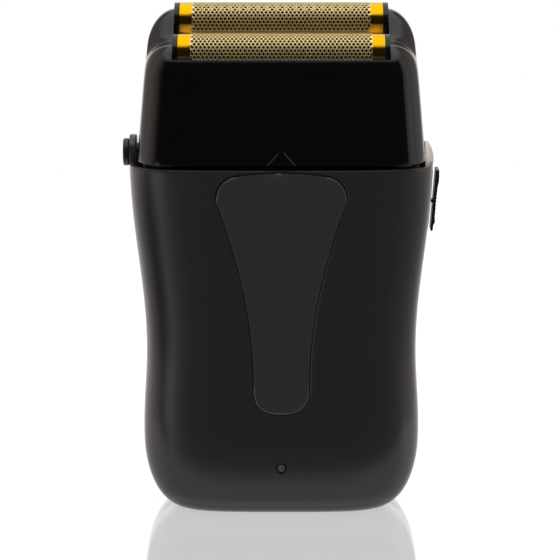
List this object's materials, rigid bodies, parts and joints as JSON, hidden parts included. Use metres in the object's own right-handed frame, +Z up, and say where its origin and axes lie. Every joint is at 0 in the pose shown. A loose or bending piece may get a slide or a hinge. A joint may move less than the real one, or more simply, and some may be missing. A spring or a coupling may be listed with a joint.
{
  "type": "foil shaver",
  "caption": "Palm-size electric foil shaver: waisted flat body, lift-off head with stepped floating gold foils over swinging cutters, slide switch, release button and charging port.",
  "frame": {"origin": "middle of the flat base that the shaver stands on", "axes": "+Z up along the body to the foils, +Y to the back, +X to the side with the slide switch"},
  "size_m": [0.0682, 0.0312, 0.1095],
  "materials": {
    "soft_touch_body": "satin soft-touch coat over moulded ABS",
    "satin_inlay": "satin moulded plate with a fine bright edge",
    "gloss_head": "polished moulded ABS",
    "moulded_trim": "moulded ABS, fine satin",
    "gold_foil": "etched steel foil with a gold titanium coating",
    "cutter_steel": "ground stainless steel",
    "fastener_steel": "black-zinc steel",
    "inner_plastic": "moulded, as from the tool",
    "acetal": "natural acetal, moulded",
    "seal_rubber": "moulded rubber",
    "motor_metal": "zinc-plated sheet",
    "armature_copper": "varnished winding",
    "cell_sleeve": "shrink sleeve",
    "board_green": "solder mask",
    "lead_sleeve": "PVC insulation",
    "lens_dark": "smoked acrylic"
  },
  "bodies": {
    "body": {"front_housing": "soft_touch_body", "rear_housing": "soft_touch_body", "front_inlay": "satin_inlay", "indicator_lens": "lens_dark", "top_deck": "inner_plastic", "deck_seal": "seal_rubber", "post_seals": "seal_rubber", "deck_screws": "fastener_steel", "motor_cradle": "inner_plastic", "motor_screws": "fastener_steel", "motor_can": "motor_metal", "motor_magnets": "motor_metal", "motor_end_bell": "acetal", "guide_rods": "cutter_steel", "battery_cell": "cell_sleeve", "battery_tabs": "motor_metal", "battery_leads": "lead_sleeve", "motor_leads": "lead_sleeve", "main_board": "board_green", "board_screws": "fastener_steel", "indicator_led": "acetal", "slide_switch_unit": "inner_plastic", "charge_socket": "motor_metal", "housing_screws": "fastener_steel", "release_bezel": "moulded_trim", "guide_tab": "moulded_trim", "head_latch": "acetal"},
    "switch": {"switch_thumb": "moulded_trim", "switch_carrier": "acetal"},
    "button": {"release_button": "moulded_trim"},
    "head": {"head_housing": "gloss_head", "foil_retainers": "inner_plastic", "retainer_screws": "fastener_steel", "float_springs": "cutter_steel"},
    "front_foil_unit": {"front_foil": "gold_foil", "front_foil_frame": "gloss_head"},
    "rear_foil_unit": {"rear_foil": "gold_foil", "rear_foil_frame": "gloss_head"},
    "rotor": {"motor_armature": "armature_copper", "motor_shaft": "cutter_steel", "eccentric": "acetal"},
    "drive": {"oscillator": "acetal", "cutter_springs": "cutter_steel"},
    "front_cutter": {"front_cutter_carrier": "inner_plastic", "front_cutter_blades": "cutter_steel"},
    "rear_cutter": {"rear_cutter_carrier": "inner_plastic", "rear_cutter_blades": "cutter_steel"}
  },
  "joints": [
    {"name": "power_switch", "type": "slide", "parent": "body", "child": "switch", "axis": [-0.0785, 0, -0.9969], "range_m": [0, 0.004]},
    {"name": "release_press", "type": "slide", "parent": "body", "child": "button", "axis": [1, 0, 0], "range_m": [0, 0.0011], "stiffness_N_per_m": 600, "springref_m": -0.0004, "deforming": ["head_latch"]},
    {"name": "head_lift", "type": "slide", "parent": "body", "child": "head", "axis": [0, 0, 1], "range_m": [0, 0.018]},
    {"name": "front_foil_float", "type": "slide", "parent": "head", "child": "front_foil_unit", "axis": [0, 0, -1], "range_m": [0, 0.0012], "stiffness_N_per_m": 1200, "springref_m": -0.0004, "deforming": ["float_springs"]},
    {"name": "rear_foil_float", "type": "slide", "parent": "head", "child": "rear_foil_unit", "axis": [0, 0, -1], "range_m": [0, 0.0012], "stiffness_N_per_m": 1200, "springref_m": -0.0004},
    {"name": "drive_spin", "type": "hinge", "parent": "body", "child": "rotor", "pos_m": [0, 0, 0.05], "axis": [0, 0, 1], "continuous": true},
    {"name": "cutter_swing", "type": "slide", "parent": "body", "child": "drive", "axis": [1, 0, 0], "range_m": [-0.0012, 0.0012]},
    {"name": "front_cutter_float", "type": "slide", "parent": "drive", "child": "front_cutter", "axis": [0, 0, -1], "range_m": [0, 0.0012], "deforming": ["cutter_springs"]},
    {"name": "rear_cutter_float", "type": "slide", "parent": "drive", "child": "rear_cutter", "axis": [0, 0, -1], "range_m": [0, 0.0012]}
  ],
  "couplings": [
    {"joint": "front_cutter_float", "follows": "front_foil_float", "ratio": 1},
    {"joint": "rear_cutter_float", "follows": "rear_foil_float", "ratio": 1}
  ]
}
